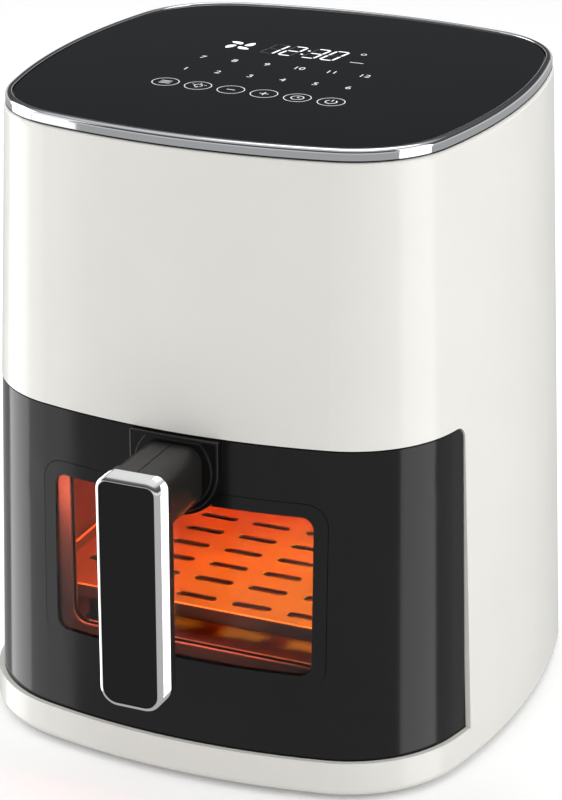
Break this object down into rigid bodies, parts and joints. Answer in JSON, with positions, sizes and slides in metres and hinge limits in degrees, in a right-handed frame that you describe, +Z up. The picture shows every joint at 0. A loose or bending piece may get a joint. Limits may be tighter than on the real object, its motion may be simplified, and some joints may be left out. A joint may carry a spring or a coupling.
{
  "type": "countertop air fryer",
  "caption": "Tapered countertop air fryer with bowed sides, touch-control glass top, and a wrap-around black drawer front with window and upright handle that slides out with its pan.",
  "frame": {"origin": "on the table plane under the feet, in the middle of the whole footprint from the handle to the cord gland", "axes": "+Z up, -Y to the front with the drawer and handle, +X to the right seen from the front"},
  "size_m": [0.2694, 0.3216, 0.324],
  "materials": {
    "shell_white": "gloss",
    "panel_black": "high gloss",
    "moulding_black": "matt",
    "handle_black": "satin",
    "bright_trim": "polished",
    "black_glass": "polished, printed black behind",
    "clear_glass": "polished",
    "lamp_glass": "frosted",
    "sheet_steel": "bright sheet",
    "coated_steel": "non-stick coating",
    "heater_steel": "oxidised",
    "fan_aluminium": "as pressed",
    "screw_steel": "zinc plated",
    "bush_brass": "turned",
    "rubber_black": "matt",
    "board_green": "solder mask",
    "component_grey": "matt",
    "ceramic_white": "unglazed"
  },
  "bodies": {
    "housing": {"outer_shell": "shell_white", "base_cover": "moulding_black", "rubber_feet": "rubber_black", "base_screws": "screw_steel", "trim_ring": "bright_trim", "control_glass": "black_glass", "top_deck": "moulding_black", "touch_board": "board_green", "board_screws": "screw_steel", "touch_pads": "component_grey", "display_module": "component_grey", "bay_frame": "moulding_black", "chamber_liner": "sheet_steel", "chamber_roof": "sheet_steel", "guide_rails": "moulding_black", "heater_coil": "heater_steel", "heater_bushes": "ceramic_white", "heater_brackets": "sheet_steel", "motor_bracket": "sheet_steel", "motor_case": "sheet_steel", "motor_bushes": "bush_brass", "motor_screws": "screw_steel", "temperature_sensor": "sheet_steel", "thermal_cutout": "component_grey", "lamp_housing": "sheet_steel", "lamp_bulb": "lamp_glass", "lamp_lens": "lamp_glass", "power_board": "board_green", "power_parts": "component_grey", "rear_vent": "moulding_black", "cord_gland": "rubber_black", "switch_case": "component_grey"},
    "drawer": {"drawer_front": "panel_black", "window_lens": "clear_glass", "drawer_core": "moulding_black", "pan": "coated_steel", "pan_glass": "clear_glass", "pan_glass_frame": "sheet_steel", "handle_boss": "handle_black", "handle_left": "handle_black", "handle_right": "handle_black", "handle_bezel": "bright_trim", "handle_inlay": "panel_black", "handle_screws": "screw_steel"},
    "crisper": {"crisper_plate": "coated_steel", "crisper_bumpers": "rubber_black"},
    "fan_rotor": {"rotor_shaft": "screw_steel", "convection_fan": "fan_aluminium", "cooling_fan": "fan_aluminium", "fan_nut": "screw_steel"},
    "switch_plunger": {"switch_plunger": "component_grey"}
  },
  "joints": [
    {"name": "drawer_slide", "type": "slide", "parent": "housing", "child": "drawer", "axis": [0, -1, 0], "range_m": [0, 0.235]},
    {"name": "crisper_lift", "type": "slide", "parent": "drawer", "child": "crisper", "axis": [0, 0, 1], "range_m": [0, 0.11]},
    {"name": "fan_spin", "type": "hinge", "parent": "housing", "child": "fan_rotor", "pos_m": [0, 0.01925, 0.23], "axis": [0, 0, 1], "continuous": true},
    {"name": "switch_press", "type": "slide", "parent": "housing", "child": "switch_plunger", "axis": [0, 1, 0], "range_m": [0, 0.001], "stiffness_N_per_m": 200}
  ]
}
